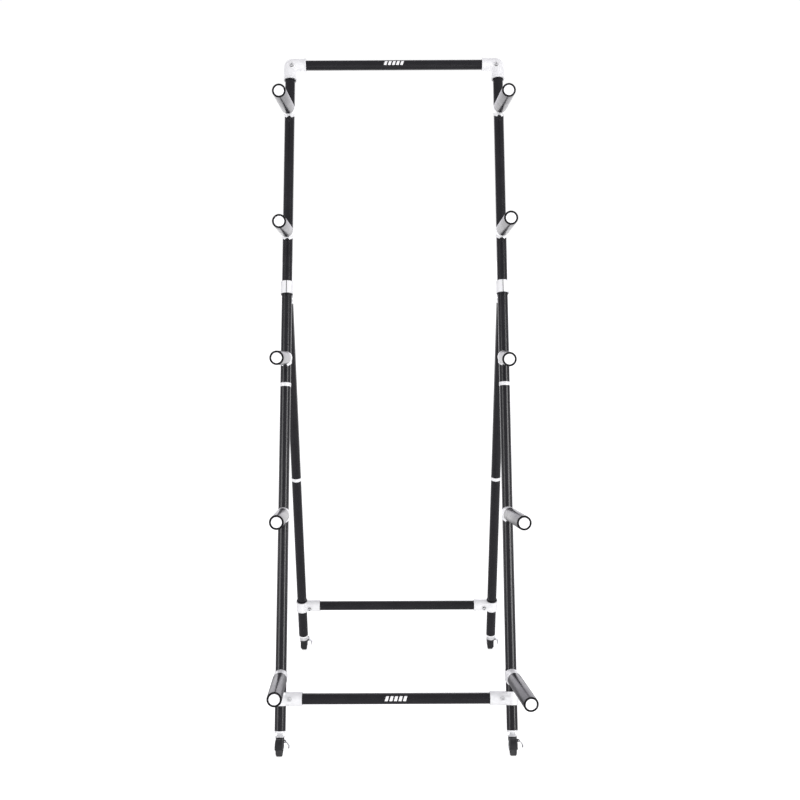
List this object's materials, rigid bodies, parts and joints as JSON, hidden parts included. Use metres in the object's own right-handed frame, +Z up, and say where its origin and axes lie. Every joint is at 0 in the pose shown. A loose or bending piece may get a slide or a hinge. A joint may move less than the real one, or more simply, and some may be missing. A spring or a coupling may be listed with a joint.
{
  "type": "rolling storage rack",
  "caption": "Rolling folding A-frame rack of black tube with silver clamp fittings and pairs of sleeved stub arms that hold long gym equipment off the floor.",
  "frame": {"origin": "on the floor, midway between the uprights, under the middle of the rack front to back", "axes": "+Z up, the arms point to -Y, +X to the right as seen from the front"},
  "size_m": [0.6498, 0.9401, 1.7851],
  "materials": {
    "tube_black": "satin black plastic coating on steel tube",
    "fitting_silver": "smooth die-cast, bright",
    "sleeve_black": "smooth black sleeve, semi-gloss",
    "plug_white": "moulded white end plug",
    "steel_plated": "zinc plated",
    "screw_black": "black oxide",
    "caster_black": "moulded black nylon",
    "wheel_rubber": "black rubber tread",
    "lever_plated": "bright zinc plated pressing"
  },
  "bodies": {
    "front_frame": {"upright_upper_left": "tube_black", "upright_upper_right": "tube_black", "upright_lower_left": "tube_black", "upright_lower_right": "tube_black", "upright_couplings": "fitting_silver", "top_crossbar": "tube_black", "lower_crossbar": "tube_black", "elbow_left": "fitting_silver", "elbow_right": "fitting_silver", "lower_tee_left": "fitting_silver", "lower_tee_right": "fitting_silver", "arm_tee_1_left": "fitting_silver", "arm_tee_1_right": "fitting_silver", "arm_tee_2_left": "fitting_silver", "arm_tee_2_right": "fitting_silver", "arm_tee_3_left": "fitting_silver", "arm_tee_3_right": "fitting_silver", "arm_tee_4_left": "fitting_silver", "arm_tee_4_right": "fitting_silver", "arm_tee_5_left": "fitting_silver", "arm_tee_5_right": "fitting_silver", "arm_sleeves_1": "sleeve_black", "arm_sleeves_2": "sleeve_black", "arm_sleeves_3": "sleeve_black", "arm_sleeves_4": "sleeve_black", "arm_sleeves_5": "sleeve_black", "arm_tubes": "steel_plated", "arm_end_plugs": "plug_white", "pivot_collars": "fitting_silver", "pivot_pins": "steel_plated", "fitting_bolts": "steel_plated", "stop_screws": "screw_black", "front_leg_inserts": "fitting_silver"},
    "rear_frame": {"rear_leg_upper_left": "tube_black", "rear_leg_upper_right": "tube_black", "rear_leg_lower_left": "tube_black", "rear_leg_lower_right": "tube_black", "rear_couplings": "fitting_silver", "rear_crossbar": "tube_black", "rear_tee_left": "fitting_silver", "rear_tee_right": "fitting_silver", "pivot_knuckles": "fitting_silver", "rear_fitting_bolts": "steel_plated", "rear_leg_inserts": "fitting_silver"},
    "swivel_front_left": {"caster_hood_front_left": "caster_black", "caster_stem_front_left": "steel_plated"},
    "wheel_front_left": {"caster_wheel_front_left": "wheel_rubber"},
    "brake_front_left": {"brake_lever_front_left": "lever_plated"},
    "swivel_front_right": {"caster_hood_front_right": "caster_black", "caster_stem_front_right": "steel_plated"},
    "wheel_front_right": {"caster_wheel_front_right": "wheel_rubber"},
    "brake_front_right": {"brake_lever_front_right": "lever_plated"},
    "swivel_rear_left": {"caster_hood_rear_left": "caster_black", "caster_stem_rear_left": "steel_plated"},
    "wheel_rear_left": {"caster_wheel_rear_left": "wheel_rubber"},
    "brake_rear_left": {"brake_lever_rear_left": "lever_plated"},
    "swivel_rear_right": {"caster_hood_rear_right": "caster_black", "caster_stem_rear_right": "steel_plated"},
    "wheel_rear_right": {"caster_wheel_rear_right": "wheel_rubber"},
    "brake_rear_right": {"brake_lever_rear_right": "lever_plated"}
  },
  "joints": [
    {"name": "rear_frame_fold", "type": "hinge", "parent": "front_frame", "child": "rear_frame", "pos_m": [0, 0.13098, 1.12844], "axis": [1, 0, 0], "range_deg": [-33, 0]},
    {"name": "swivel_front_left", "type": "hinge", "parent": "front_frame", "child": "swivel_front_left", "pos_m": [-0.2925, -0.27361, 0.05477], "axis": [0, 0.3289, 0.9444], "continuous": true},
    {"name": "wheel_front_left", "type": "hinge", "parent": "swivel_front_left", "child": "wheel_front_left", "pos_m": [-0.2925, -0.29843, 0.02], "axis": [1, 0, 0], "continuous": true},
    {"name": "brake_front_left", "type": "hinge", "parent": "swivel_front_left", "child": "brake_front_left", "pos_m": [-0.2791, -0.29284, 0.03605], "axis": [0, 0.9444, -0.3289], "range_deg": [0, 20]},
    {"name": "swivel_front_right", "type": "hinge", "parent": "front_frame", "child": "swivel_front_right", "pos_m": [0.2925, -0.27361, 0.05477], "axis": [0, 0.3289, 0.9444], "continuous": true},
    {"name": "wheel_front_right", "type": "hinge", "parent": "swivel_front_right", "child": "wheel_front_right", "pos_m": [0.2925, -0.29843, 0.02], "axis": [1, 0, 0], "continuous": true},
    {"name": "brake_front_right", "type": "hinge", "parent": "swivel_front_right", "child": "brake_front_right", "pos_m": [0.3059, -0.29284, 0.03605], "axis": [0, 0.9444, -0.3289], "range_deg": [0, 20]},
    {"name": "swivel_rear_left", "type": "hinge", "parent": "rear_frame", "child": "swivel_rear_left", "pos_m": [-0.2925, 0.4239, 0.05639], "axis": [0, -0.2636, 0.9646], "continuous": true},
    {"name": "wheel_rear_left", "type": "hinge", "parent": "swivel_rear_left", "child": "wheel_rear_left", "pos_m": [-0.2925, 0.44629, 0.02], "axis": [1, 0, 0], "continuous": true},
    {"name": "brake_rear_left", "type": "hinge", "parent": "swivel_rear_left", "child": "brake_rear_left", "pos_m": [-0.2791, 0.44181, 0.0364], "axis": [0, 0.9646, 0.2636], "range_deg": [0, 20]},
    {"name": "swivel_rear_right", "type": "hinge", "parent": "rear_frame", "child": "swivel_rear_right", "pos_m": [0.2925, 0.4239, 0.05639], "axis": [0, -0.2636, 0.9646], "continuous": true},
    {"name": "wheel_rear_right", "type": "hinge", "parent": "swivel_rear_right", "child": "wheel_rear_right", "pos_m": [0.2925, 0.44629, 0.02], "axis": [1, 0, 0], "continuous": true},
    {"name": "brake_rear_right", "type": "hinge", "parent": "swivel_rear_right", "child": "brake_rear_right", "pos_m": [0.3059, 0.44181, 0.0364], "axis": [0, 0.9646, 0.2636], "range_deg": [0, 20]}
  ]
}
